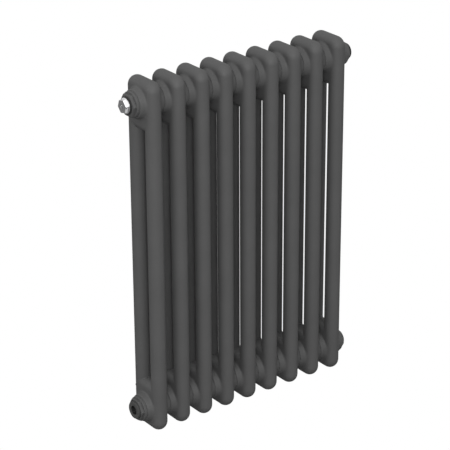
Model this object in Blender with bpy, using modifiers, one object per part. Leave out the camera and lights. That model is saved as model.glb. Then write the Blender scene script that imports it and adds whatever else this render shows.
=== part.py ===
# Two-column tubular steel radiator with a manual air vent, modelled as an assembly of separate pieces.
# Metres, +Z up.  X runs along the radiator, -Y is the room side, +Y the wall side.
# The origin is at the level of the bottom heads' undersides, under the middle section's centre.
import math
import bpy
import bmesh
from mathutils import Matrix

# ---------------------------------------------------------------- driving dimensions (metres)
SECTIONS = 9             # sections side by side
PITCH = 0.045            # section pitch along X
HEIGHT = 0.600           # overall height
COLUMN_Y = 0.022         # the two columns stand this far in front of and behind the middle
TUBE_R = 0.0129          # painted tube, and half the thickness of a head
WALL = 0.0015            # wall of the tubes and the heads
CORNER_R = 0.0045        # centre-line radius of a head's two upper corners
HUB_DROP = 0.0375        # water-way axis below the top edge, and above the bottom edge
NOTCH_DROP = 0.084       # underside of a head between its two columns, from the top edge
MITRE_Y = COLUMN_Y - TUBE_R      # the 45 degree tube joints start at the inner side of each column
MITRE_TRIM = 0.0002      # a head's mitred faces stop this far short of the joint's mid-plane
NECK_END = 0.02235       # half the length of a head across its two necks
BOSS_FROM = 0.0165       # outward of this the neck is a thick tapped ring
# a neck's outside, as (radius, distance from the head's middle)
NECK_PROFILE = [(0.0211, NECK_END), (0.0229, 0.0208), (0.0240, BOSS_FROM), (0.0252, 0.0110)]
WATERWAY_R = 0.0173      # through-bore of the necks
GAP = 0.0003             # clearance between touching pieces
SIDES = 12               # facets of the tubes
NECK_SIDES = 16          # facets of the necks
ROUND = 18               # facets of the turned fittings

# fittings at the four ports: heights are distances outward from the end neck's face
WASHER_T = 0.0012        # fibre washer
WASHER_R = 0.0204
FLANGE_IN = WASHER_T + 2 * GAP
FLANGE_OUT = 0.0049      # the bush's round flange ends and its hexagon starts
FLANGE_R = 0.0208
HEX_OUT = 0.0101
HEX_FLATS = 0.0335
HEX_TURN = math.radians(5)
FACE = 0.0131            # the bush's outer face
FACE_R = 0.0121
COLLAR_R = 0.0149
COLLAR_CHAMFER = 0.0024
THREAD_R = 0.0162        # outside thread of the bush
THREAD_IN = -0.0115
PORT_R = 0.0084          # tapping in the bush
PORT_CHAMFER = 0.0006

# air vent and blanking plug, outward from the end neck's face
SEAL_T = 0.0007
PLUG_FROM = FACE + SEAL_T + 2 * GAP      # inner face of the vent's flange and the blanking plug's head
SHANK_R = PORT_R - GAP                   # outside thread of both plugs
VENT_SEAL_R = 0.0142
VENT_FLANGE_R = 0.0128
VENT_FLANGE_OUT = PLUG_FROM + 0.0012
VENT_OUT = VENT_FLANGE_OUT + 0.0036
VENT_FLATS = 0.0196
VENT_TURN = math.radians(12)
VENT_IN = -0.0060
SEAT_R = 0.0015                          # the air way that the bleed screw's point closes
SEAT_FROM = -0.0010
SEAT_TO = 0.0010
SCREW_R = 0.0032
SCREW_HOLE_R = SCREW_R + 0.0004          # air runs out along the thread's clearance
HEAD_AT = VENT_OUT - 0.0004              # the bleed screw's head sits just inside the hexagon
GROOVE_R = 0.0022
GROOVE_FROM = HEAD_AT - 0.0020
GROOVE_TO = HEAD_AT - 0.0008
SLOT_WIDTH = 0.0010
SLOT_DEPTH = 0.0007
WEEP_R = 0.0006                          # side hole that lets the air out, inboard of the seal ring
WEEP_AT = VENT_FLANGE_OUT + 0.0010
BLANK_SEAL_R = 0.0118
BLANK_R = 0.0116
BLANK_CHAMFER = 0.0008
BLANK_OUT = PLUG_FROM + 0.0020
BLANK_IN = -0.0010
KEY_FLATS = 0.0080                       # hexagon key socket of the blanking plug
KEY_DEPTH = 0.0060

END_X = (SECTIONS - 1) / 2 * PITCH + NECK_END      # outer face of the end necks
TOP_HUB_Z = HEIGHT - HUB_DROP
BOTTOM_HUB_Z = HUB_DROP

for ob in list(bpy.data.objects):
    bpy.data.objects.remove(ob, do_unlink=True)
scene = bpy.context.scene
parts = bpy.data.collections.new("tubular_radiator")
cutters = bpy.data.collections.new("cutters")
scene.collection.children.link(parts)
scene.collection.children.link(cutters)


# ---------------------------------------------------------------- materials
def material(name, colour, metallic, roughness):
    m = bpy.data.materials.new(name)
    m.use_nodes = True
    shader = m.node_tree.nodes["Principled BSDF"]
    shader.inputs["Base Color"].default_value = (*colour, 1.0)
    shader.inputs["Metallic"].default_value = metallic
    shader.inputs["Roughness"].default_value = roughness
    return m


PAINT = material("anthracite_paint", (0.088, 0.088, 0.090), 0.0, 0.45)
CHROME = material("chrome", (0.78, 0.78, 0.80), 1.0, 0.08)
STEEL = material("plated_steel", (0.55, 0.55, 0.56), 1.0, 0.28)
RUBBER = material("black_rubber", (0.016, 0.016, 0.016), 0.0, 0.75)
FIBRE = material("fibre_washer", (0.050, 0.050, 0.052), 0.0, 0.85)


# ---------------------------------------------------------------- helpers
def add_part(name, me, mat):
    ob = bpy.data.objects.new(name, me)
    me.materials.clear()
    me.materials.append(mat)
    parts.objects.link(ob)
    return ob


def add_cutter(name, me):
    ob = bpy.data.objects.new(name, me)
    ob.hide_render = True
    ob.display_type = "WIRE"
    cutters.objects.link(ob)
    return ob


def to_mesh(name, bm):
    me = bpy.data.meshes.new(name)
    bm.to_mesh(me)
    bm.free()
    return me


def evaluated_mesh(ob):
    """The object's mesh with its modifiers built in, in world space."""
    bpy.context.view_layer.update()
    me = bpy.data.meshes.new_from_object(ob.evaluated_get(bpy.context.evaluated_depsgraph_get()))
    me.transform(ob.matrix_world)
    return me


def cylinder(name, radius, length, sides=ROUND, turn=0.0):
    """A closed cylinder along Z, centred on its origin."""
    bm = bmesh.new()
    bmesh.ops.create_cone(bm, cap_ends=True, segments=sides, radius1=radius, radius2=radius,
                          depth=length, matrix=Matrix.Rotation(turn, 4, "Z"))
    return add_cutter(name, to_mesh(name, bm))


def hexagon(name, across_flats, length, turn=0.0):
    return cylinder(name, across_flats / math.sqrt(3), length, 6, turn)


def box(name, size):
    bm = bmesh.new()
    bmesh.ops.create_cube(bm, size=1.0, matrix=Matrix.Diagonal((*size, 1.0)))
    return add_cutter(name, to_mesh(name, bm))


def plate(name, outline, half):
    """A flat outline of (y, z) points, filled and thickened to +-half along X, as a welded bmesh."""
    curve = bpy.data.curves.new(name, "CURVE")
    curve.dimensions = "2D"
    curve.fill_mode = "BOTH"
    curve.extrude = half
    spline = curve.splines.new("POLY")
    spline.points.add(len(outline) - 1)
    for point, (y, z) in zip(spline.points, outline):
        point.co = (y, z, 0.0, 1.0)
    spline.use_cyclic_u = True
    ob = add_cutter(name, curve)
    ob.matrix_world = Matrix(((0, 0, 1, 0), (1, 0, 0, 0), (0, 1, 0, 0), (0, 0, 0, 1)))
    me = evaluated_mesh(ob)
    bpy.data.objects.remove(ob, do_unlink=True)
    bm = bmesh.new()
    bm.from_mesh(me)
    bmesh.ops.remove_doubles(bm, verts=bm.verts, dist=0.00001)
    bmesh.ops.dissolve_limit(bm, angle_limit=math.radians(0.5), verts=bm.verts, edges=bm.edges)
    bmesh.ops.recalc_face_normals(bm, faces=bm.faces)
    return bm


def profile_mesh(name, points, closed):
    bm = bmesh.new()
    verts = [bm.verts.new((radius, 0.0, height)) for radius, height in points]
    for a, b in zip(verts, verts[1:]):
        bm.edges.new((a, b))
    if closed:
        bm.edges.new((verts[-1], verts[0]))
    return to_mesh(name, bm)


def turned(name, points, mat=None, steps=ROUND):
    """A profile of (radius, height) points, outer side top to bottom, screwed round Z.
    With a material it is a part, and without one a cutter."""
    me = profile_mesh(name, points, closed=points[0][0] > 0.0)
    ob = add_part(name, me, mat) if mat else add_cutter(name, me)
    screw = ob.modifiers.new("turn", "SCREW")
    screw.steps = screw.render_steps = steps
    screw.use_merge_vertices = True
    screw.merge_threshold = 0.00001
    screw.use_smooth_shade = True
    return ob


def ring(name, inner, outer, low, high, mat):
    return turned(name, [(inner, high), (outer, high), (outer, low), (inner, low)], mat)


def boolean(ob, tool, operation):
    m = ob.modifiers.new(operation.lower(), "BOOLEAN")
    m.operation = operation
    m.solver = "EXACT"
    m.object = tool


def along_x(ob, side, x, hub_z):
    """Puts a turned piece on a water-way axis, its own +Z pointing out of the side -1 or +1."""
    ob.location = (side * x, 0.0, hub_z)
    ob.rotation_euler = (0.0, side * math.pi / 2, 0.0)
    return ob


def finished(ob, name, angle=35):
    """The evaluated mesh, welded and cleaned of the joins' flat slivers, shaded smooth."""
    bm = bmesh.new()
    bm.from_mesh(evaluated_mesh(ob))
    bmesh.ops.remove_doubles(bm, verts=bm.verts, dist=0.00001)
    bmesh.ops.dissolve_limit(bm, angle_limit=math.radians(0.5), verts=bm.verts, edges=bm.edges)
    bmesh.ops.triangulate(bm, faces=[f for f in bm.faces if len(f.verts) > 4])
    me = to_mesh(name, bm)
    me.shade_smooth()
    me.set_sharp_from_angle(angle=math.radians(angle))
    return me


# ---------------------------------------------------------------- heads and tubes
# A head is built with its top edge at z = 0; the bottom heads are the same piece turned over.
# Its two pressed halves are one welded piece.
def mitre_region(name, shift, head_side):
    """All that lies on one side of the two 45 degree tube joints."""
    reach = 0.060
    corner = -NOTCH_DROP + shift
    far = 0.030 if head_side else -0.300
    outline = [(-MITRE_Y - reach, corner + reach), (-MITRE_Y, corner), (MITRE_Y, corner),
               (MITRE_Y + reach, corner + reach), (MITRE_Y + reach, far), (-MITRE_Y - reach, far)]
    return add_cutter(name, to_mesh(name, plate(name, outline, 0.030)))


def pressing(name, inset, rounding):
    """The head's U outline, its edges rounded so fully that each leg is a round tube stub.
    rounding is the number of facets in a quarter of a leg."""
    outer = COLUMN_Y + TUBE_R - inset
    arc = CORNER_R + TUBE_R - inset
    leg_end = -0.150
    half = [(MITRE_Y + inset, -NOTCH_DROP + inset), (MITRE_Y + inset, leg_end), (outer, leg_end)]
    for degrees in (0, 45, 90):
        a = math.radians(degrees)
        half.append((outer - arc + arc * math.cos(a), -inset - arc + arc * math.sin(a)))
    outline = half + [(-y, z) for y, z in reversed(half)]
    thickness = TUBE_R - inset
    bm = plate(name, outline, thickness)
    rims = [e for e in bm.edges if abs(e.verts[0].co.x - e.verts[1].co.x) < GAP]
    bmesh.ops.bevel(bm, geom=rims, offset=thickness - 0.0001, segments=rounding, profile=0.5,
                    affect="EDGES", clamp_overlap=False)
    return add_cutter(name, to_mesh(name, bm))


def necks(name, inset, half_length):
    """The two necks in one turned piece, inset, and cut off at half_length from the middle."""
    half = [(radius - inset, x) for radius, x in NECK_PROFILE if x <= half_length]
    points = half + [(radius, -x) for radius, x in reversed(half)]
    ob = turned(name, [(0.0, half_length)] + points + [(0.0, -half_length)], steps=NECK_SIDES)
    return along_x(ob, 1, 0.0, -HUB_DROP)


def build_head():
    body = pressing("head_pressing", 0.0, SIDES // 4)
    boolean(body, necks("head_necks", 0.0, NECK_END), "UNION")
    hollow = pressing("head_inside", WALL, 2)
    boolean(hollow, necks("head_neck_inside", WALL, BOSS_FROM), "UNION")
    waterway = along_x(cylinder("head_waterway", WATERWAY_R, 0.060, NECK_SIDES), 1, 0.0, -HUB_DROP)
    boolean(hollow, waterway, "UNION")
    boolean(body, mitre_region("head_mitre", -MITRE_TRIM, False), "DIFFERENCE")
    boolean(body, hollow, "DIFFERENCE")
    return finished(body, "head")


def build_tube():
    """The front column's straight tube, both ends cut at 45 degrees to meet the heads."""
    inner = TUBE_R - WALL
    half = HEIGHT / 2
    tube = turned("column_tube", [(inner, half), (TUBE_R, half), (TUBE_R, -half), (inner, -half)],
                  steps=SIDES)
    tube.location = (0.0, -COLUMN_Y, half)
    tube.rotation_euler = (0.0, 0.0, math.pi / SIDES)
    drop = MITRE_TRIM + GAP * math.sqrt(2)
    top = mitre_region("tube_mitre_top", -drop, True)
    top.location.z = HEIGHT
    bottom = mitre_region("tube_mitre_bottom", -drop, True)
    bottom.rotation_euler = (math.pi, 0.0, 0.0)
    boolean(tube, top, "DIFFERENCE")
    boolean(tube, bottom, "DIFFERENCE")
    return finished(tube, "tube")


head_mesh = build_head()
tube_mesh = build_tube()
for section in range(1, SECTIONS + 1):
    x = (section - 1 - (SECTIONS - 1) / 2) * PITCH
    add_part(f"head_top_{section}", head_mesh, PAINT).location = (x, 0.0, HEIGHT)
    low = add_part(f"head_bottom_{section}", head_mesh, PAINT)
    low.location = (x, 0.0, 0.0)
    low.rotation_euler = (math.pi, 0.0, 0.0)
    add_part(f"tube_front_{section}", tube_mesh, PAINT).location = (x, 0.0, 0.0)
    rear = add_part(f"tube_rear_{section}", tube_mesh, PAINT)
    rear.location = (x, 0.0, 0.0)
    rear.rotation_euler = (0.0, 0.0, math.pi)


# ---------------------------------------------------------------- bushes and washers, one at each port
def add_bush(corner, side, hub_z):
    overlap = 0.0008
    ob = turned("bush_" + corner,
                [(PORT_R + PORT_CHAMFER, FACE), (FACE_R, FACE), (COLLAR_R, FACE - COLLAR_CHAMFER),
                 (COLLAR_R, FLANGE_OUT), (FLANGE_R, FLANGE_OUT), (FLANGE_R, FLANGE_IN),
                 (THREAD_R, FLANGE_IN), (THREAD_R, THREAD_IN), (PORT_R, THREAD_IN),
                 (PORT_R, FACE - PORT_CHAMFER)], PAINT)
    along_x(ob, side, END_X, hub_z)
    nut_from = FLANGE_OUT - overlap
    nut = hexagon("bush_hexagon_" + corner, HEX_FLATS, HEX_OUT - nut_from, HEX_TURN)
    along_x(nut, side, END_X + (HEX_OUT + nut_from) / 2, hub_z)
    inside = cylinder("bush_inside_" + corner, (COLLAR_R + PORT_R) / 2, 0.040)
    boolean(nut, along_x(inside, side, END_X, hub_z), "DIFFERENCE")
    boolean(ob, nut, "UNION")


def add_washer(corner, side, hub_z):
    washer = ring("washer_" + corner, THREAD_R + 0.0008, WASHER_R, GAP, GAP + WASHER_T, FIBRE)
    along_x(washer, side, END_X, hub_z)


PORTS = {"top_left": (-1, TOP_HUB_Z), "bottom_left": (-1, BOTTOM_HUB_Z),
         "top_right": (1, TOP_HUB_Z), "bottom_right": (1, BOTTOM_HUB_Z)}
for corner, (side, hub_z) in PORTS.items():
    add_bush(corner, side, hub_z)
    add_washer(corner, side, hub_z)


# ---------------------------------------------------------------- air vent, top left
def add_vent_plug():
    overlap = 0.0005
    plug = turned("vent_plug",
                  [(SCREW_HOLE_R, VENT_FLANGE_OUT), (VENT_FLANGE_R, VENT_FLANGE_OUT),
                   (VENT_FLANGE_R, PLUG_FROM), (SHANK_R, PLUG_FROM), (SHANK_R, VENT_IN),
                   (SEAT_R, VENT_IN), (SEAT_R, SEAT_FROM), (SCREW_HOLE_R, SEAT_TO)], CHROME)
    along_x(plug, -1, END_X, TOP_HUB_Z)
    nut_from = VENT_FLANGE_OUT - overlap
    nut = hexagon("vent_hexagon", VENT_FLATS, VENT_OUT - nut_from, VENT_TURN)
    along_x(nut, -1, END_X + (VENT_OUT + nut_from) / 2, TOP_HUB_Z)
    hole = cylinder("vent_screw_hole", SCREW_HOLE_R, 0.040)
    boolean(nut, along_x(hole, -1, END_X + VENT_FLANGE_OUT, TOP_HUB_Z), "DIFFERENCE")
    boolean(plug, nut, "UNION")
    weep = cylinder("vent_weep_hole", WEEP_R, 0.010, 8)
    weep.location = (-END_X - WEEP_AT, -VENT_FLATS / 2 + 0.0008, TOP_HUB_Z)
    weep.rotation_euler = (math.pi / 2, 0.0, 0.0)
    boolean(plug, weep, "DIFFERENCE")


def add_bleed_screw():
    """Its conical point closes the plug's air way, and a seal ring sits in the groove by its head.
    Its origin is on the joint's axis."""
    edge = 0.0004
    point_from = 0.0030
    tip = 0.0003
    screw = turned("bleed_screw",
                   [(0.0, HEAD_AT), (SCREW_R - edge, HEAD_AT), (SCREW_R, HEAD_AT - edge),
                    (SCREW_R, GROOVE_TO), (GROOVE_R, GROOVE_TO), (GROOVE_R, GROOVE_FROM),
                    (SCREW_R, GROOVE_FROM), (SCREW_R, point_from), (0.0010, tip), (0.0, tip)], STEEL)
    along_x(screw, -1, END_X, TOP_HUB_Z)
    slot = box("bleed_slot", (SLOT_WIDTH, 4 * SCREW_R, 2 * SLOT_DEPTH))
    boolean(screw, along_x(slot, -1, END_X + HEAD_AT, TOP_HUB_Z), "DIFFERENCE")
    ring_clear = 0.0002
    seal = ring("bleed_seal", GROOVE_R + ring_clear, SCREW_R + ring_clear / 2,
                GROOVE_FROM + ring_clear, GROOVE_TO - ring_clear, RUBBER)
    along_x(seal, -1, END_X, TOP_HUB_Z)


def add_plug_seal(name, side, radius):
    seal = ring(name, PORT_R + 0.0007, radius, FACE + GAP, FACE + GAP + SEAL_T, RUBBER)
    along_x(seal, side, END_X, TOP_HUB_Z)


add_vent_plug()
add_bleed_screw()
add_plug_seal("vent_seal", -1, VENT_SEAL_R)


# ---------------------------------------------------------------- blanking plug, top right
def add_blanking_plug():
    plug = turned("blanking_plug",
                  [(0.0, BLANK_OUT), (BLANK_R - BLANK_CHAMFER, BLANK_OUT),
                   (BLANK_R, BLANK_OUT - BLANK_CHAMFER), (BLANK_R, PLUG_FROM),
                   (SHANK_R, PLUG_FROM), (SHANK_R, BLANK_IN), (0.0, BLANK_IN)], PAINT)
    along_x(plug, 1, END_X, TOP_HUB_Z)
    key = hexagon("blanking_key_socket", KEY_FLATS, 2 * KEY_DEPTH)
    boolean(plug, along_x(key, 1, END_X + BLANK_OUT, TOP_HUB_Z), "DIFFERENCE")


add_blanking_plug()
add_plug_seal("blanking_seal", 1, BLANK_SEAL_R)
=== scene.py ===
import math
import bmesh
import bpy
import numpy as np
from mathutils import Matrix, Vector


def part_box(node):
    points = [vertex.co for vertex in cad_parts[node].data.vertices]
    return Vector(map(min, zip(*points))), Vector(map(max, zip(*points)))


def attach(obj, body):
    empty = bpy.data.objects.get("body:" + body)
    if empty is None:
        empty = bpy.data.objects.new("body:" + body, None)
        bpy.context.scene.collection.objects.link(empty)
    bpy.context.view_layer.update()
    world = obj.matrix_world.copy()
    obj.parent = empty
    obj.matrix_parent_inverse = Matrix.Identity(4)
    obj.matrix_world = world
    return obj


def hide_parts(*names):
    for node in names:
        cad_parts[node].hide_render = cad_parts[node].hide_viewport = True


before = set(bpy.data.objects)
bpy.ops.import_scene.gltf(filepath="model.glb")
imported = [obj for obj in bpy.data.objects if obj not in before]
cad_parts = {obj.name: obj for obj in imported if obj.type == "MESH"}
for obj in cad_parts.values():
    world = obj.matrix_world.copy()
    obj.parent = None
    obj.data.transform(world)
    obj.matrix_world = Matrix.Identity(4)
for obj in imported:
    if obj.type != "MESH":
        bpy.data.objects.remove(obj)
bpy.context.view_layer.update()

# ---------------------------------------------------------------- sizes
TUBE_R = 0.0129          # tube radius, and half the thickness of a head
CORNER_R = 0.0174        # outer radius of a head's two upper corners
HUB_DROP = 0.0375        # water-way axis below the top edge
NOTCH_DROP = 0.0840      # underside of a head between its columns, below the top edge
WATERWAY_R = 0.0173
RIM_R = 0.0209           # the neck's end face turns over into its side from this radius
RIM_TO = 0.0229          # to this one
RIM_X = 0.0206           # and ends this far from the head's middle
# the neck's side: radius, and how much of the neck's rise is left there
NECK_FLARE = ((0.0229, 0.0236, 0.0243, 0.0250, 0.0258, 0.0268, 0.0280),
              (1.0, 0.74, 0.44, 0.20, 0.08, 0.02, 0.0))
NECK_GAP = 0.00002       # each neck's face stops this far short of the middle between two sections
STUB = 0.0010            # straight tube that a head carries past its mitred joints

section_boxes = [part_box(name) for name in sorted(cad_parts) if name.startswith("head_top_")]
SECTION_X = [(low.x + high.x) / 2 for low, high in section_boxes]
PITCH = SECTION_X[1] - SECTION_X[0]
HEIGHT = section_boxes[0][1].z
OUTER_Y = section_boxes[0][1].y                      # outermost side of the columns
COLUMN_Y = OUTER_Y - TUBE_R
MITRE_Y = COLUMN_Y - TUBE_R
END_X = section_boxes[-1][1].x                       # outer face of the end necks
TOP_HUB_Z = HEIGHT - HUB_DROP
BOTTOM_HUB_Z = HUB_DROP


# ---------------------------------------------------------------- materials
def new_material(name, colour, roughness, metallic=0.0, specular=0.5):
    mat = bpy.data.materials.new(name)
    mat.use_nodes = True
    shader = mat.node_tree.nodes["Principled BSDF"]
    shader.inputs["Base Color"].default_value = (*colour, 1.0)
    shader.inputs["Roughness"].default_value = roughness
    shader.inputs["Metallic"].default_value = metallic
    shader.inputs["Specular IOR Level"].default_value = specular
    return mat, shader


def noise(tree, scale, detail, stretch=(1.0, 1.0, 1.0)):
    """Noise in the object's own metres, so scale is in features per metre."""
    coords = tree.nodes.new("ShaderNodeTexCoord")
    mapping = tree.nodes.new("ShaderNodeMapping")
    mapping.inputs["Scale"].default_value = stretch
    node = tree.nodes.new("ShaderNodeTexNoise")
    node.inputs["Scale"].default_value = scale
    node.inputs["Detail"].default_value = detail
    tree.links.new(coords.outputs["Object"], mapping.inputs["Vector"])
    tree.links.new(mapping.outputs["Vector"], node.inputs["Vector"])
    return node.outputs["Fac"]


def value_range(tree, source, low, high):
    """Maps the middle of a noise's range to low..high."""
    node = tree.nodes.new("ShaderNodeMapRange")
    node.inputs["From Min"].default_value = 0.3
    node.inputs["From Max"].default_value = 0.7
    node.inputs["To Min"].default_value = low
    node.inputs["To Max"].default_value = high
    tree.links.new(source, node.inputs["Value"])
    return node.outputs["Result"]


def colour_range(tree, source, dark, light):
    """Maps the middle of a noise's range to dark..light."""
    node = tree.nodes.new("ShaderNodeValToRGB")
    node.color_ramp.elements[0].position = 0.3
    node.color_ramp.elements[0].color = (*dark, 1.0)
    node.color_ramp.elements[1].position = 0.7
    node.color_ramp.elements[1].color = (*light, 1.0)
    tree.links.new(source, node.inputs["Fac"])
    return node.outputs["Color"]


def bump(tree, source, shader, strength, distance):
    node = tree.nodes.new("ShaderNodeBump")
    node.inputs["Strength"].default_value = strength
    node.inputs["Distance"].default_value = distance
    tree.links.new(source, node.inputs["Height"])
    tree.links.new(node.outputs["Normal"], shader.inputs["Normal"])


def paint_material():
    """Satin anthracite powder coat: orange peel, and a little unevenness in tone and gloss."""
    mat, shader = new_material("anthracite_powder_coat", (0.062, 0.062, 0.062), 0.5, specular=0.2)
    tree = mat.node_tree
    tone = colour_range(tree, noise(tree, 22.0, 3.0), (0.0595, 0.0595, 0.0595),
                        (0.0645, 0.0645, 0.0645))
    tree.links.new(tone, shader.inputs["Base Color"])
    gloss = value_range(tree, noise(tree, 90.0, 4.0), 0.50, 0.60)
    tree.links.new(gloss, shader.inputs["Roughness"])
    bump(tree, noise(tree, 900.0, 2.0), shader, 0.12, 0.0002)
    return mat


def chrome_material():
    """Polished chrome with faint handling marks."""
    mat, shader = new_material("polished_chrome", (0.80, 0.80, 0.81), 0.08, metallic=1.0)
    tree = mat.node_tree
    gloss = value_range(tree, noise(tree, 260.0, 4.0), 0.05, 0.13)
    tree.links.new(gloss, shader.inputs["Roughness"])
    bump(tree, noise(tree, 1400.0, 2.0), shader, 0.03, 0.0001)
    return mat


def steel_material():
    """Satin plated steel, turned: fine rings of tool marks along the screw's axis."""
    mat, shader = new_material("satin_plated_steel", (0.56, 0.56, 0.57), 0.28, metallic=1.0)
    tree = mat.node_tree
    gloss = value_range(tree, noise(tree, 400.0, 3.0), 0.22, 0.36)
    tree.links.new(gloss, shader.inputs["Roughness"])
    bump(tree, noise(tree, 900.0, 2.0, (6.0, 1.0, 1.0)), shader, 0.10, 0.0001)
    return mat


def rubber_material():
    """Matt black rubber, a little uneven in tone."""
    mat, shader = new_material("black_rubber", (0.012, 0.012, 0.012), 0.7, specular=0.35)
    tree = mat.node_tree
    tone = colour_range(tree, noise(tree, 300.0, 3.0), (0.009, 0.009, 0.009), (0.017, 0.017, 0.017))
    tree.links.new(tone, shader.inputs["Base Color"])
    gloss = value_range(tree, noise(tree, 500.0, 3.0), 0.62, 0.80)
    tree.links.new(gloss, shader.inputs["Roughness"])
    bump(tree, noise(tree, 1600.0, 3.0), shader, 0.2, 0.0002)
    return mat


def fibre_material():
    """Pressed fibre: a matt sheet with short fibres lying in the washer's plane."""
    mat, shader = new_material("pressed_fibre", (0.045, 0.045, 0.044), 0.85, specular=0.25)
    tree = mat.node_tree
    fibres = noise(tree, 500.0, 5.0, (8.0, 1.0, 1.0))
    tone = colour_range(tree, fibres, (0.032, 0.032, 0.032), (0.060, 0.060, 0.058))
    tree.links.new(tone, shader.inputs["Base Color"])
    gloss = value_range(tree, noise(tree, 700.0, 3.0), 0.78, 0.92)
    tree.links.new(gloss, shader.inputs["Roughness"])
    bump(tree, fibres, shader, 0.3, 0.0002)
    return mat


def painted_shade_thread_material():
    """The open port's thread, coloured near black: painted shade standing for the shade deep in its
    bore.
    """
    mat, shader = new_material("painted_shade_thread", (0.004, 0.004, 0.004), 0.6, specular=0.2)
    tree = mat.node_tree
    tone = colour_range(tree, noise(tree, 400.0, 3.0), (0.003, 0.003, 0.003), (0.009, 0.009, 0.009))
    tree.links.new(tone, shader.inputs["Base Color"])
    bump(tree, noise(tree, 900.0, 3.0), shader, 0.2, 0.0002)
    return mat


PAINT = paint_material()
CHROME = chrome_material()
STEEL = steel_material()
RUBBER = rubber_material()
FIBRE = fibre_material()
# the thread's near-black colour is painted shade for the inside of the open ports' bores
THREAD = painted_shade_thread_material()


# ---------------------------------------------------------------- mesh helpers
SHARP_ANGLE = math.radians(35)


def mesh_of(name, bm):
    me = bpy.data.meshes.new(name)
    bm.to_mesh(me)
    bm.free()
    return me


def mesh_from(name, verts, faces):
    """A closed mesh: poles welded, faces pointing out, and edges sharp where it turns."""
    bm = bmesh.new()
    made = [bm.verts.new(v) for v in verts]
    for face in faces:
        bm.faces.new([made[i] for i in face])
    bmesh.ops.remove_doubles(bm, verts=bm.verts, dist=1e-7)
    bmesh.ops.recalc_face_normals(bm, faces=bm.faces)
    return shaded(mesh_of(name, bm))


def shaded(me):
    me.shade_smooth()
    me.set_sharp_from_angle(angle=SHARP_ANGLE)
    return me


def add_piece(name, me, mat, place, node=None, body="radiator"):
    """A piece whose place is in its mesh, riding on a body and standing for a CAD node, if any."""
    me = me.copy()
    me.transform(place)
    me.materials.clear()
    me.materials.append(mat)
    ob = add_object(name, me)
    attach(ob, body)
    if node:
        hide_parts(node)
    return ob


def add_object(name, data):
    ob = bpy.data.objects.new(name, data)
    bpy.context.scene.collection.objects.link(ob)
    return ob


def rounded(points, radius, arc_steps=3, closed=False):
    """A polyline with its corners turned over as short curves."""
    pts = [Vector(p) for p in points]
    out = []
    for i, p in enumerate(pts):
        if not closed and i in (0, len(pts) - 1):
            out.append(p)
            continue
        before, after = pts[i - 1], pts[(i + 1) % len(pts)]
        cut = min(radius, 0.45 * (before - p).length, 0.45 * (after - p).length)
        a = p + (before - p).normalized() * cut
        b = p + (after - p).normalized() * cut
        for k in range(arc_steps + 1):
            t = k / arc_steps
            out.append(a * (1 - t) ** 2 + p * 2 * t * (1 - t) + b * t ** 2)
    return [tuple(v) for v in out]


def lathe(name, section, steps, closed=True):
    """Turns a section round Z.  section(angle) gives its (radius, height) points at that angle, and
    a closed section is a ring, while an open one starts and ends on the axis."""
    verts = []
    for k in range(steps):
        angle = 2 * math.pi * k / steps
        verts += [(r * math.cos(angle), r * math.sin(angle), h) for r, h in section(angle)]
    n = len(verts) // steps
    faces = []
    for k in range(steps):
        a, b = k * n, (k + 1) % steps * n
        for i in range(n if closed else n - 1):
            j = (i + 1) % n
            on_axis = [math.hypot(*verts[a + m][:2]) < 1e-9 for m in (i, j)]
            if on_axis[0]:
                faces.append((a + i, a + j, b + j))
            elif on_axis[1]:
                faces.append((a + i, a + j, b + i))
            else:
                faces.append((a + i, a + j, b + j, b + i))
    return mesh_from(name, verts, faces)


def ring_mesh(name, inner, outer, low, high, edge):
    """A plain ring, its section's corners rounded by edge."""
    section = rounded([(inner, high), (outer, high), (outer, low), (inner, low)], edge, closed=True)
    return lathe(name, lambda angle: section, 72)


def hexagon_radius(angle, across_flats, turn, corner_r):
    """Radius of a hexagon at an angle, turned by turn, its corners cut back to corner_r."""
    off = (angle - turn - math.pi / 2) % (math.pi / 3) - math.pi / 6
    return min(across_flats / 2 / math.cos(off), corner_r)


def port_place(side, hub_z):
    """Puts a turned piece at a port, its own +Z pointing out of the radiator's end."""
    turn = Matrix.Rotation(side * math.pi / 2, 4, "Y")
    return Matrix.Translation((side * END_X, 0.0, hub_z)) @ turn


def cylinder_tool(name, radius, length, sides, place):
    bm = bmesh.new()
    bmesh.ops.create_cone(bm, cap_ends=True, segments=sides, radius1=radius, radius2=radius,
                          depth=length, matrix=place)
    return mesh_of(name, bm)


def cut(me, tool, name):
    """The mesh with the tool taken out of it."""
    body = add_object(name, me)
    knife = add_object(name + "_tool", tool)
    modifier = body.modifiers.new("cut", "BOOLEAN")
    modifier.operation = "DIFFERENCE"
    modifier.solver = "EXACT"
    modifier.object = knife
    bpy.context.view_layer.update()
    depsgraph = bpy.context.evaluated_depsgraph_get()
    result = bpy.data.meshes.new_from_object(body.evaluated_get(depsgraph))
    for ob in (body, knife):
        bpy.data.objects.remove(ob, do_unlink=True)
    return shaded(result)


# ---------------------------------------------------------------- heads
# A head is worked out about its hub: u points to the rear, w up, and x along the radiator.
TOP_W = HUB_DROP
BOTTOM_W = HUB_DROP - NOTCH_DROP
SHOULDER_W = BOTTOM_W + 2 * TUBE_R      # where the mitred joints reach the outer side
UNDERSIDE_STEPS, SIDE_STEPS, TOP_STEPS, MITRE_STEPS = 12, 22, 18, 18
CORNER_STEP = 6                         # degrees
RIM_STEPS = 6
SPOKE_ROWS = 40
FINE_ROWS = 600                         # the surface is sampled this finely, then evened out


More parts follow.
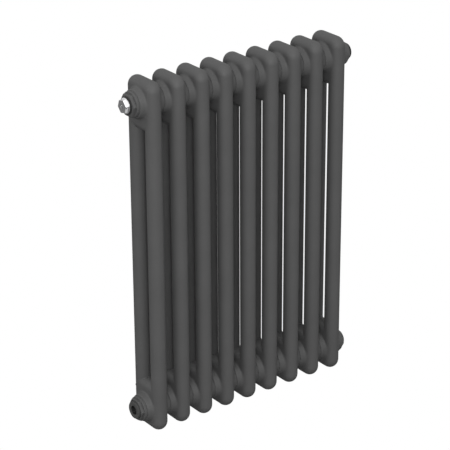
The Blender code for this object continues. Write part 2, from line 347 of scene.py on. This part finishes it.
def head_outline():
    """Points (u, w, mitred) round a head's outline, anticlockwise from the underside's left end."""
    def line(start, end, count):
        return [(start[0] + (end[0] - start[0]) * k / count,
                 start[1] + (end[1] - start[1]) * k / count, False) for k in range(count)]

    def corner(side, first):
        centre_u, centre_w = side * top, straight
        turns = [math.radians(a) for a in range(first, first + 90, CORNER_STEP)]
        return [(centre_u + CORNER_R * math.cos(t), centre_w + CORNER_R * math.sin(t), False)
                for t in turns]

    def mitre(side):
        turns = [math.pi * k / MITRE_STEPS for k in range(MITRE_STEPS)]
        turns = turns if side > 0 else [math.pi - t for t in turns]
        reach = [COLUMN_Y - TUBE_R * math.cos(t) for t in turns]
        return [(side * u, BOTTOM_W + u - MITRE_Y, 0.0 < t < math.pi) for u, t in zip(reach, turns)]

    straight = TOP_W - CORNER_R
    top = OUTER_Y - CORNER_R
    points = line((-MITRE_Y, BOTTOM_W), (MITRE_Y, BOTTOM_W), UNDERSIDE_STEPS)
    points += mitre(1)
    points += line((OUTER_Y, SHOULDER_W), (OUTER_Y, straight), SIDE_STEPS)
    points += corner(1, 0)
    points += line((top, TOP_W), (-top, TOP_W), TOP_STEPS)
    points += corner(-1, 90)
    points += line((-OUTER_Y, straight), (-OUTER_Y, SHOULDER_W), SIDE_STEPS)
    points += mitre(-1)
    return points


def pressing_height(u, w):
    """Half thickness of the pressing at a point: full, and rounded over towards the outline."""
    au = np.abs(u)
    corner_u, corner_w = OUTER_Y - CORNER_R, TOP_W - CORNER_R
    in_corner = (au > corner_u) & (w > corner_w)
    inset = np.where(in_corner, CORNER_R - np.hypot(au - corner_u, w - corner_w),
                     np.minimum(OUTER_Y - au, TOP_W - w))
    inset = np.clip(np.minimum(inset, w - BOTTOM_W), 0.0, TUBE_R)
    return np.sqrt(inset * (2 * TUBE_R - inset))


def head_height(u, w):
    """The pressing's surface, rising into the neck's steep side near the hub."""
    low = pressing_height(u, w)
    return low + (RIM_X - low) * np.interp(np.hypot(u, w), *NECK_FLARE)


def head_spoke(u, w, rows):
    """Points (u, w, x) from the neck's bore out to one point of the outline, evenly spaced."""
    reach = math.hypot(u, w)
    cu, cw = u / reach, w / reach
    face_x = PITCH / 2 - NECK_GAP
    rim = [(WATERWAY_R, face_x)]
    for k in range(RIM_STEPS):
        t = math.pi / 2 * k / RIM_STEPS
        rim.append((RIM_R + (RIM_TO - RIM_R) * math.sin(t),
                    RIM_X + (face_x - RIM_X) * math.cos(t)))
    fine = 1.0 - (1.0 - np.linspace(0.0, 1.0, FINE_ROWS)) ** 2   # closer together at the outline
    r = RIM_TO + (reach - RIM_TO) * fine
    x = head_height(cu * r, cw * r)
    along = np.concatenate([[0.0], np.cumsum(np.hypot(np.diff(r), np.diff(x)))])
    even = np.linspace(0.0, along[-1], rows)
    outer = list(zip(np.interp(even, along, r), np.interp(even, along, x)))
    return [(cu * radius, cw * radius, height) for radius, height in rim + outer]


def head_mesh():
    """Both halves of a head about its hub, joined along the outline, with the water-way through."""
    outline = head_outline()
    count = len(outline)
    spokes = [head_spoke(u, w, SPOKE_ROWS) for u, w, _ in outline]
    rows = len(spokes[0])
    verts, faces, index = [], [], {}
    for side in (1, -1):
        for j, spoke in enumerate(spokes):
            for i, (u, w, x) in enumerate(spoke):
                closed_edge = i == rows - 1 and not outline[j][2]
                if closed_edge and side == -1:
                    index[side, j, i] = index[1, j, i]
                    continue
                index[side, j, i] = len(verts)
                verts.append((0.0 if closed_edge else side * x, u, w))
    for j in range(count):
        k = (j + 1) % count
        for i in range(rows - 1):
            for side in (1, -1):
                face = [index[side, j, i], index[side, k, i],
                        index[side, k, i + 1], index[side, j, i + 1]]
                faces.append(face[::side])
        faces.append([index[-1, j, 0], index[-1, k, 0], index[1, k, 0], index[1, j, 0]])
    # each mitred joint goes on as a short straight stub, closed at its end
    mitred = [j for j in range(count) if outline[j][2]]
    for first in (j for j in mitred if not outline[j - 1][2]):
        run = [first - 1]
        while outline[(run[-1] + 1) % count][2]:
            run.append((run[-1] + 1) % count)
        run.append((run[-1] + 1) % count)
        loop = [index[1, j, rows - 1] for j in run]
        loop += [index[-1, j, rows - 1] for j in run[-2:0:-1]]
        low = []
        for v in loop:
            low.append(len(verts))
            verts.append((verts[v][0], verts[v][1], verts[v][2] - STUB))
        for a in range(len(loop)):
            b = (a + 1) % len(loop)
            faces.append([loop[a], loop[b], low[b], low[a]])
        faces.append(low)
    return mesh_from("head", verts, faces)


def add_heads():
    me = head_mesh()
    over = Matrix.Rotation(math.pi, 4, "X")
    for i, x in enumerate(SECTION_X, 1):
        top = Matrix.Translation((x, 0.0, TOP_HUB_Z))
        bottom = Matrix.Translation((x, 0.0, BOTTOM_HUB_Z)) @ over
        add_piece(f"painted_head_top_{i}", me, PAINT, top, f"head_top_{i}")
        add_piece(f"painted_head_bottom_{i}", me, PAINT, bottom, f"head_bottom_{i}")


# ---------------------------------------------------------------- tubes and their welds
def joint_height(y):
    """Height of an upper mitred joint above the radiator's lower edge, at depth y."""
    return HEIGHT - NOTCH_DROP + abs(y) - MITRE_Y


def add_tubes(steps=72, rows=16):
    """Tubes between the heads' stubs, mitred at both ends."""
    verts = []
    for row in range(rows + 1):
        for k in range(steps):
            angle = 2 * math.pi * k / steps
            x, y = TUBE_R * math.cos(angle), COLUMN_Y + TUBE_R * math.sin(angle)
            top = joint_height(y) - STUB
            bottom = HEIGHT - top
            verts.append((x, y, bottom + (top - bottom) * row / rows))
    faces = [(row * steps + k, row * steps + (k + 1) % steps,
              (row + 1) * steps + (k + 1) % steps, (row + 1) * steps + k)
             for row in range(rows) for k in range(steps)]
    faces += [list(range(steps)), list(range(rows * steps, (rows + 1) * steps))]
    me = mesh_from("tube", verts, faces)
    for i, x in enumerate(SECTION_X, 1):
        rear = Matrix.Translation((x, 0.0, 0.0))
        front = rear @ Matrix.Rotation(math.pi, 4, "Z")
        add_piece(f"painted_tube_front_{i}", me, PAINT, front, f"tube_front_{i}")
        add_piece(f"painted_tube_rear_{i}", me, PAINT, rear, f"tube_rear_{i}")


def add_welds(bead_r=0.0019, sunk=0.0012, steps=72, sides=16):
    """The rear columns' mitred joints keep their weld bead under the paint."""
    across = Vector((0.0, -1.0, 1.0)).normalized()            # square to the joint's plane
    verts = []
    for k in range(steps):
        angle = 2 * math.pi * k / steps
        y = COLUMN_Y + (TUBE_R - sunk) * math.sin(angle)
        centre = Vector(((TUBE_R - sunk) * math.cos(angle), y, joint_height(y)))
        along = Vector((-math.sin(angle), math.cos(angle), math.cos(angle))).normalized()
        out = along.cross(across)
        for m in range(sides):
            turn = 2 * math.pi * m / sides
            point = centre + (out * math.cos(turn) + across * math.sin(turn)) * bead_r
            point.y = min(point.y, OUTER_Y)                   # ground flush at the back
            verts.append(point)
    faces = [(k * sides + m, (k + 1) % steps * sides + m,
              (k + 1) % steps * sides + (m + 1) % sides, k * sides + (m + 1) % sides)
             for k in range(steps) for m in range(sides)]
    me = mesh_from("weld", verts, faces)
    over = Matrix.Translation((0.0, 0.0, HEIGHT)) @ Matrix.Diagonal((1.0, 1.0, -1.0, 1.0))
    for i, x in enumerate(SECTION_X, 1):
        place = Matrix.Translation((x, 0.0, 0.0))
        add_piece(f"weld_top_{i}", me, PAINT, place)
        weld = add_piece(f"weld_bottom_{i}", me, PAINT, place @ over)
        weld.data.flip_normals()                              # mirroring turned them inwards


# ---------------------------------------------------------------- bushes and washers
# Heights are distances outward from the end neck's face, as in the CAD.
FLANGE_IN = 0.0018
FLANGE_OUT = 0.0049
FLANGE_R = 0.0208
FLANGE_ROUND = 0.0022
SKIRT_R = 0.0202                        # the flange has a thin skirt around its washer
SKIRT_IN = 0.0003
WASHER_IN = 0.0002
WASHER_OUT = 0.0017
WASHER_R = 0.0200
WASHER_BORE_R = 0.0170
HEX_OUT = 0.0101
HEX_FLATS = 0.0335
HEX_TURN = math.radians(5)
HEX_CORNER_R = 0.0192
HEX_CHAMFER_R = 0.0165                  # the hexagon's outer edge is turned off from here
NUT_SLOPE = math.tan(math.radians(28))  # of that chamfer, and of the air vent's
BUSH_EDGE = 0.00025
THREAD_R = 0.0162
THREAD_IN = -0.0115
PORT_R = 0.0084
PORT_CHAMFER = 0.0004
PORT_THREAD_DEPTH = 0.0005
PORT_THREAD_PITCH = 0.00134
FACE = 0.0131                           # outer face of the open ports' sealing rings
RECESS_R = 0.0149                       # the rings sit in a recess of the hexagon
RING_IN = HEX_OUT - 0.0012
RING_R = 0.0142
RING_BORE_R = 0.0078


def bush_section(angle, is_open):
    """A bush's section: an open one has the recess for its ring, a plugged one a flat face."""
    corner = hexagon_radius(angle, HEX_FLATS, HEX_TURN, HEX_CORNER_R)
    drop = (corner - HEX_CHAMFER_R) * NUT_SLOPE
    mouth = RING_IN if is_open else HEX_OUT
    face = [(PORT_R + PORT_CHAMFER, mouth)] + ([(RECESS_R, mouth)] if is_open else [])
    points = rounded(face + [(HEX_CHAMFER_R, HEX_OUT), (corner, HEX_OUT - drop),
                             (corner, FLANGE_OUT)], BUSH_EDGE)
    points += rounded([(FLANGE_R - 1.2 * FLANGE_ROUND, FLANGE_OUT), (FLANGE_R, FLANGE_OUT),
                       (FLANGE_R, SKIRT_IN)], FLANGE_ROUND, 5)
    return points + [(SKIRT_R, SKIRT_IN), (SKIRT_R, FLANGE_IN), (THREAD_R, FLANGE_IN),
                     (THREAD_R, THREAD_IN), (PORT_R, THREAD_IN), (PORT_R, mouth - PORT_CHAMFER)]


def thread_section(angle, steps_per_turn=8):
    """The open port's cut thread, as a thin lining of its bore up to the sealing ring's lip."""
    low, high = THREAD_IN + 0.0002, FACE - 0.0010
    back, crest = PORT_R - 0.00005, PORT_R - 0.0002
    points = [(back, high), (back, low)]
    count = int((high - low) / PORT_THREAD_PITCH * steps_per_turn)
    for k in range(count + 1):
        h = low + (high - low) * k / count
        wave = 0.5 - 0.5 * math.cos(2 * math.pi * h / PORT_THREAD_PITCH - angle)
        points.append((crest - PORT_THREAD_DEPTH * wave, h))
    return points


PORTS = {"top_left": (-1, TOP_HUB_Z), "bottom_left": (-1, BOTTOM_HUB_Z),
         "top_right": (1, TOP_HUB_Z), "bottom_right": (1, BOTTOM_HUB_Z)}


def add_bushes():
    """The four bushes with their washers, and the open ports' rings and threads."""
    open_bush = lathe("open_bush", lambda angle: bush_section(angle, True), 96)
    plugged_bush = lathe("plugged_bush", lambda angle: bush_section(angle, False), 96)
    washer = ring_mesh("washer", WASHER_BORE_R, WASHER_R, WASHER_IN, WASHER_OUT, 0.0002)
    back, lip, bore = RING_IN + 0.0002, FACE - 0.0009, PORT_R + 0.0003
    ring = rounded([(RING_BORE_R, FACE), (RING_R, FACE), (RING_R, back), (bore, back), (bore, lip),
                    (RING_BORE_R, lip)], 0.0002, closed=True)
    ring = lathe("port_ring", lambda angle: ring, 96)
    thread = lathe("port_thread", thread_section, 96)
    for corner, (side, hub_z) in PORTS.items():
        place = port_place(side, hub_z)
        is_open = corner.startswith("bottom")
        if is_open:
            add_piece(f"fibre_port_ring_{corner}", ring, FIBRE, place)
            # this thread lining carries painted shade: its near-black colour stands for the bore's
            # shade
            add_piece(f"painted_shade_port_thread_{corner}", thread, THREAD, place)
        bush = open_bush if is_open else plugged_bush
        add_piece(f"painted_bush_{corner}", bush, PAINT, place, f"bush_{corner}")
        add_piece(f"fibre_washer_{corner}", washer, FIBRE, place, f"washer_{corner}")


# ---------------------------------------------------------------- air vent and blanking plug
PLUG_FROM = 0.0144                      # the blanking plug's rim starts here
SHANK_R = 0.0081
SEAL_BORE_R = 0.0091
SEAL_GAP = 0.0001                       # between a seal and what it seals
VENT_SEAL_R = 0.0142
VENT_FLANGE_R = 0.0128
VENT_SEAT = HEX_OUT + 0.0027            # the vent's flange presses its seal on the bush's hexagon
VENT_RIM = 0.0008                       # the flange's thickness at its rim
VENT_ROOT = 0.0016                      # and where it meets the vent's hexagon
VENT_OUT = 0.0192
VENT_FLATS = 0.0196
VENT_CORNER_R = 0.01125
VENT_FACE_R = 0.0107
VENT_TURN = math.radians(12)
VENT_IN = -0.0060
VENT_EDGE = 0.00012
WEEP_R = 0.0012                         # the hole in one flat that lets the air out
WEEP_AT = 0.0176
WEEP_LENGTH = 0.010
WEEP_OFFSET = 0.0008                    # its tool's middle lies this far inside the flat
AIRWAY_R = 0.0015
CONE_FROM, CONE_TO = -0.0010, 0.0010    # the air way widens to the screw's hole between these
SCREW_HOLE_R = 0.0034
SCREW_R = 0.0032
SCREW_HEAD = VENT_OUT - 0.0001
SCREW_SLOT = (0.0007, 0.0130, 0.0014)   # width, length, and twice the depth
GROOVE_R = 0.0022                       # the bleed seal's groove
GROOVE_FROM, GROOVE_TO = SCREW_HEAD - 0.0020, SCREW_HEAD - 0.0008
POINT_R = 0.0010
POINT_FROM, POINT_AT = 0.0030, 0.0003
PLUG_IN = -0.0010
BLANK_R = 0.0116
BLANK_OUT = 0.0164
BLANK_EDGE = 0.0006
BLANK_SEAL_R = 0.0131                   # this seal is a cup that grips the plug's rim
KEY_FLATS = 0.0080                      # the blanking plug's hexagon socket
KEY_LENGTH = 0.0120


def vent_section(angle):
    corner = hexagon_radius(angle, VENT_FLATS, VENT_TURN, VENT_CORNER_R)
    face = min(VENT_FACE_R, corner - 0.00015)            # the flats keep a sliver of chamfer too
    drop = (corner - face) * NUT_SLOPE
    points = [(SCREW_HOLE_R, VENT_OUT), (face, VENT_OUT), (corner, VENT_OUT - drop),
              (corner, VENT_SEAT + VENT_ROOT), (VENT_FLANGE_R, VENT_SEAT + VENT_RIM),
              (VENT_FLANGE_R, VENT_SEAT), (SHANK_R, VENT_SEAT), (SHANK_R, VENT_IN),
              (AIRWAY_R, VENT_IN), (AIRWAY_R, CONE_FROM), (SCREW_HOLE_R, CONE_TO)]
    return rounded(points, VENT_EDGE, closed=True)


def add_vent():
    """The vent's plug with its weep hole, and the seal under its flange."""
    place = port_place(-1, TOP_HUB_Z)
    plug = lathe("vent_plug", vent_section, 144)
    weep_place = (Matrix.Translation((0.0, WEEP_OFFSET - VENT_FLATS / 2, WEEP_AT))
                  @ Matrix.Rotation(math.pi / 2, 4, "X"))
    plug = cut(plug, cylinder_tool("weep_hole", WEEP_R, WEEP_LENGTH, 24, weep_place), "vent_plug")
    add_piece("chrome_vent_plug", plug, CHROME, place, "vent_plug")
    seal = ring_mesh("rubber_vent_seal", SEAL_BORE_R, VENT_SEAL_R, HEX_OUT + SEAL_GAP,
                     VENT_SEAT - SEAL_GAP, 0.0003)
    add_piece("rubber_vent_seal", seal, RUBBER, place, "vent_seal")


def add_bleed_screw():
    """The slotted bleed screw, its point in the air way, and the seal ring in its groove."""
    place = port_place(-1, TOP_HUB_Z)
    section = rounded([(0.0, SCREW_HEAD), (SCREW_R, SCREW_HEAD), (SCREW_R, GROOVE_TO),
                       (GROOVE_R, GROOVE_TO), (GROOVE_R, GROOVE_FROM), (SCREW_R, GROOVE_FROM),
                       (SCREW_R, POINT_FROM), (POINT_R, POINT_AT), (0.0, POINT_AT)], VENT_EDGE)
    screw = lathe("bleed_screw", lambda angle: section, 72, closed=False)
    bm = bmesh.new()
    bmesh.ops.create_cube(bm, size=1.0, matrix=Matrix.Translation((0.0, 0.0, SCREW_HEAD))
                          @ Matrix.Diagonal((*SCREW_SLOT, 1.0)))
    screw = cut(screw, mesh_of("slot", bm), "bleed_screw")
    add_piece("plated_bleed_screw", screw, STEEL, place, "bleed_screw", "bleed_screw")
    seal = ring_mesh("rubber_bleed_seal", GROOVE_R + 0.0002, SCREW_HOLE_R - SEAL_GAP,
                     GROOVE_FROM + 0.0002, GROOVE_TO - 0.0002, 0.0003)
    add_piece("rubber_bleed_seal", seal, RUBBER, place, "bleed_seal", "bleed_carriage")


def add_blanking_plug():
    """The plug in the top right bush, with its key socket and its cup seal."""
    place = port_place(1, TOP_HUB_Z)
    section = rounded([(0.0, BLANK_OUT), (BLANK_R - BLANK_EDGE, BLANK_OUT),
                       (BLANK_R, BLANK_OUT - BLANK_EDGE), (BLANK_R, PLUG_FROM),
                       (SHANK_R, PLUG_FROM), (SHANK_R, PLUG_IN), (0.0, PLUG_IN)], 0.0004)
    plug = lathe("blanking_plug", lambda angle: section, 96, closed=False)
    key = cylinder_tool("key_socket", KEY_FLATS / math.sqrt(3), KEY_LENGTH, 6,
                        Matrix.Translation((0.0, 0.0, BLANK_OUT)))
    plug = cut(plug, key, "blanking_plug")
    add_piece("painted_blanking_plug", plug, PAINT, place, "blanking_plug")
    grip, floor, rim = BLANK_R + SEAL_GAP, PLUG_FROM - SEAL_GAP, BLANK_OUT - 0.0003
    cup = rounded([(SEAL_BORE_R, floor), (grip, floor), (grip, rim), (BLANK_SEAL_R, rim),
                   (BLANK_SEAL_R, HEX_OUT + SEAL_GAP), (SEAL_BORE_R, HEX_OUT + SEAL_GAP)],
                  0.0002, closed=True)
    cup = lathe("blanking_seal", lambda angle: cup, 72)
    add_piece("rubber_blanking_seal", cup, RUBBER, place, "blanking_seal")


# ---------------------------------------------------------------- studio
FLOOR_DROP = 0.16                       # the radiator hangs this far above the floor
FLOOR_TONE = (0.15, 0.15, 0.15)         # as it lights the radiator
FLOOR_HALF = 12.0
CARD_GLOW = 0.60
CARD_HALF = 1.5
CARD_Y = -1.75
LIGHT_FROM = (-0.50, -0.65, 0.57)       # the studio is lightest in this direction
LIGHT_IN_FRONT = 1.40
LIGHT_BEHIND = 0.50


def seen_or_lit(tree, seen, lit, output):
    """One shader as the camera sees the studio, and another as it lights the radiator."""
    path = tree.nodes.new("ShaderNodeLightPath")
    mix = tree.nodes.new("ShaderNodeMixShader")
    tree.links.new(path.outputs["Is Camera Ray"], mix.inputs["Fac"])
    tree.links.new(lit.outputs[0], mix.inputs[1])
    tree.links.new(seen.outputs[0], mix.inputs[2])
    tree.links.new(mix.outputs[0], output.inputs["Surface"])


def flat_square(name, half, mat, place):
    bm = bmesh.new()
    bmesh.ops.create_grid(bm, x_segments=1, y_segments=1, size=half)
    me = mesh_of(name, bm)
    me.materials.append(mat)
    ob = add_object(name, me)
    ob.location = place
    return ob


def add_floor():
    """A floor seen as plain white, and lit as grey so that it throws little light back."""
    mat, shader = new_material("pale_floor", FLOOR_TONE, 0.9, specular=0.1)
    tree = mat.node_tree
    white = tree.nodes.new("ShaderNodeEmission")
    seen_or_lit(tree, white, shader, tree.nodes["Material Output"])
    floor = flat_square("floor", FLOOR_HALF, mat, (0.0, 0.0, -FLOOR_DROP))


def add_card():
    """A white card on the floor in front, seen only in polished and satin surfaces."""
    mat, _ = new_material("white_card", (0.8, 0.8, 0.8), 0.9)
    tree = mat.node_tree
    glow = tree.nodes.new("ShaderNodeEmission")
    glow.inputs["Strength"].default_value = CARD_GLOW
    tree.links.new(glow.outputs[0], tree.nodes["Material Output"].inputs["Surface"])
    card = flat_square("card", CARD_HALF, mat, (0.0, CARD_Y, 0.001 - FLOOR_DROP))
    card.visible_camera = card.visible_diffuse = card.visible_shadow = False


def add_world():
    """White behind the radiator, and a soft light, strongest from the front left and above."""
    world = bpy.data.worlds.new("soft_studio")
    world.use_nodes = True
    tree = world.node_tree
    lit = tree.nodes["Background"]
    coords = tree.nodes.new("ShaderNodeTexCoord")
    towards = tree.nodes.new("ShaderNodeVectorMath")
    towards.operation = "DOT_PRODUCT"
    towards.inputs[1].default_value = Vector(LIGHT_FROM).normalized()
    level = tree.nodes.new("ShaderNodeMapRange")
    level.inputs["From Min"].default_value = -1.0
    level.inputs["To Min"].default_value = LIGHT_BEHIND
    level.inputs["To Max"].default_value = LIGHT_IN_FRONT
    tree.links.new(coords.outputs["Generated"], towards.inputs[0])
    tree.links.new(towards.outputs["Value"], level.inputs["Value"])
    tree.links.new(level.outputs["Result"], lit.inputs["Strength"])
    white = tree.nodes.new("ShaderNodeBackground")
    for background in (white, lit):
        background.inputs["Color"].default_value = (1.0, 1.0, 1.0, 1.0)
    seen_or_lit(tree, white, lit, tree.nodes["World Output"])
    bpy.context.scene.world = world


def direction(azimuth, elevation):
    """A direction from the radiator, in degrees: azimuth 0 is straight in front, + towards +X."""
    a, e = math.radians(azimuth), math.radians(elevation)
    return Vector((math.sin(a) * math.cos(e), -math.cos(a) * math.cos(e), math.sin(e)))


def add_softbox(name, azimuth, elevation, distance, width, height, power):
    """A rectangular lamp aimed at the radiator's middle."""
    light = bpy.data.lights.new(name, "AREA")
    light.shape = "RECTANGLE"
    light.size, light.size_y = width, height
    light.energy = power
    lamp = add_object(name, light)
    middle = Vector((0.0, 0.0, HEIGHT / 2))
    lamp.location = middle + distance * direction(azimuth, elevation)
    lamp.rotation_euler = (middle - lamp.location).to_track_quat("-Z", "Y").to_euler()


def add_lights():
    """The studio's even light, and three softboxes that model the tubes."""
    add_world()
    add_softbox("overhead", -20.0, 62.0, 2.2, 2.4, 1.4, 4.5)
    add_softbox("fill_left", -37.0, 21.0, 3.0, 0.9, 0.9, 41.0)
    add_softbox("fill_side", -82.0, 16.0, 3.0, 1.2, 1.4, 9.0)
    bpy.context.scene.view_settings.view_transform = "Standard"


def add_camera():
    """A long lens from the front left and above."""
    target = Vector((-0.0296, 0.0, 0.3167))
    distance = 3.057
    back = direction(-36.27, 23.72)
    roll = math.radians(-0.33)
    data = bpy.data.cameras.new("camera")
    data.lens = 151.3
    data.sensor_width = 36.0
    camera = add_object("camera", data)
    turn = (-back).to_track_quat("-Z", "Y").to_matrix().to_4x4() @ Matrix.Rotation(roll, 4, "Z")
    camera.matrix_world = Matrix.Translation(target + back * distance) @ turn
    bpy.context.scene.camera = camera


add_camera()
add_lights()
add_floor()
add_card()
add_heads()
add_tubes()
add_welds()
add_bushes()
add_vent()
add_bleed_screw()
add_blanking_plug()
